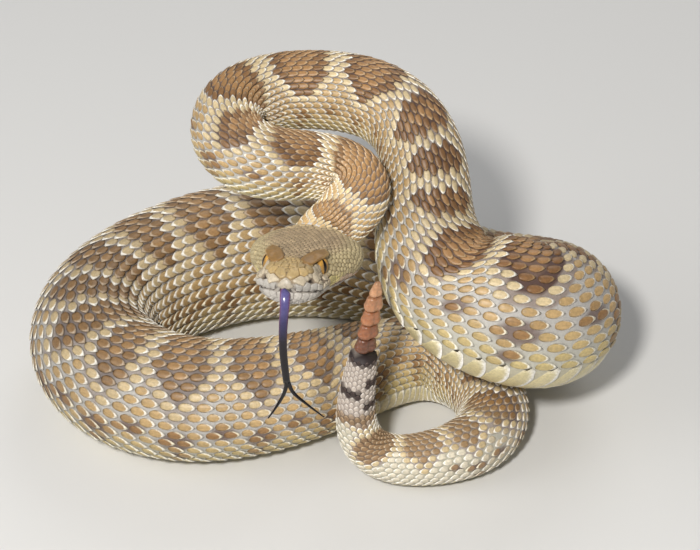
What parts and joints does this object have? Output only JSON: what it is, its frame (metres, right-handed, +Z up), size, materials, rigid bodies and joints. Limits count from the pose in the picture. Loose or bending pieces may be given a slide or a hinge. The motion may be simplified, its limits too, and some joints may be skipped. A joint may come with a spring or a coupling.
{
  "type": "western diamondback rattlesnake, still life-size model",
  "caption": "Coiled rattlesnake as a still model: body coiled on the ground, forebody raised in an S, head forward, forked tongue out, rattle upright.",
  "frame": {"origin": "on the floor under the middle of the bounding box of the coiled snake", "axes": "+Z up, +X along the widest extent towards the loop beside the snake's left, -Y the way the head faces"},
  "size_m": [0.1652, 0.1312, 0.103],
  "materials": {
    "body_scales": "keeled scales, satin, sandy tan with brown blotches",
    "tail_scales": "keeled scales, satin, pale grey with black rings",
    "head_plates": "small plates, satin, olive tan with pale lips",
    "eye": "wet gloss, amber iris with a slit pupil",
    "tongue": "moist black, violet at the root",
    "rattle_horn": "translucent horn, semi-gloss"
  },
  "bodies": {
    "root": {"neck": "body_scales", "forebody_lower_band": "body_scales", "forebody_s_turn": "body_scales", "forebody_upper_band": "body_scales", "forebody_falling": "body_scales", "right_loop_front": "body_scales", "right_loop_turn": "body_scales", "back_branch": "body_scales", "rear_arc_right": "body_scales", "rear_arc_left": "body_scales", "left_bend": "body_scales", "front_coil_left": "body_scales", "front_coil_right": "body_scales", "hind_turn": "body_scales", "tail_base": "tail_scales", "tail_rising": "tail_scales", "head": "head_plates", "eye_left": "eye", "eye_right": "eye", "tongue": "tongue", "rattle_1": "rattle_horn", "rattle_2": "rattle_horn", "rattle_3": "rattle_horn", "rattle_4": "rattle_horn", "rattle_5": "rattle_horn"}
  },
  "joints": []
}
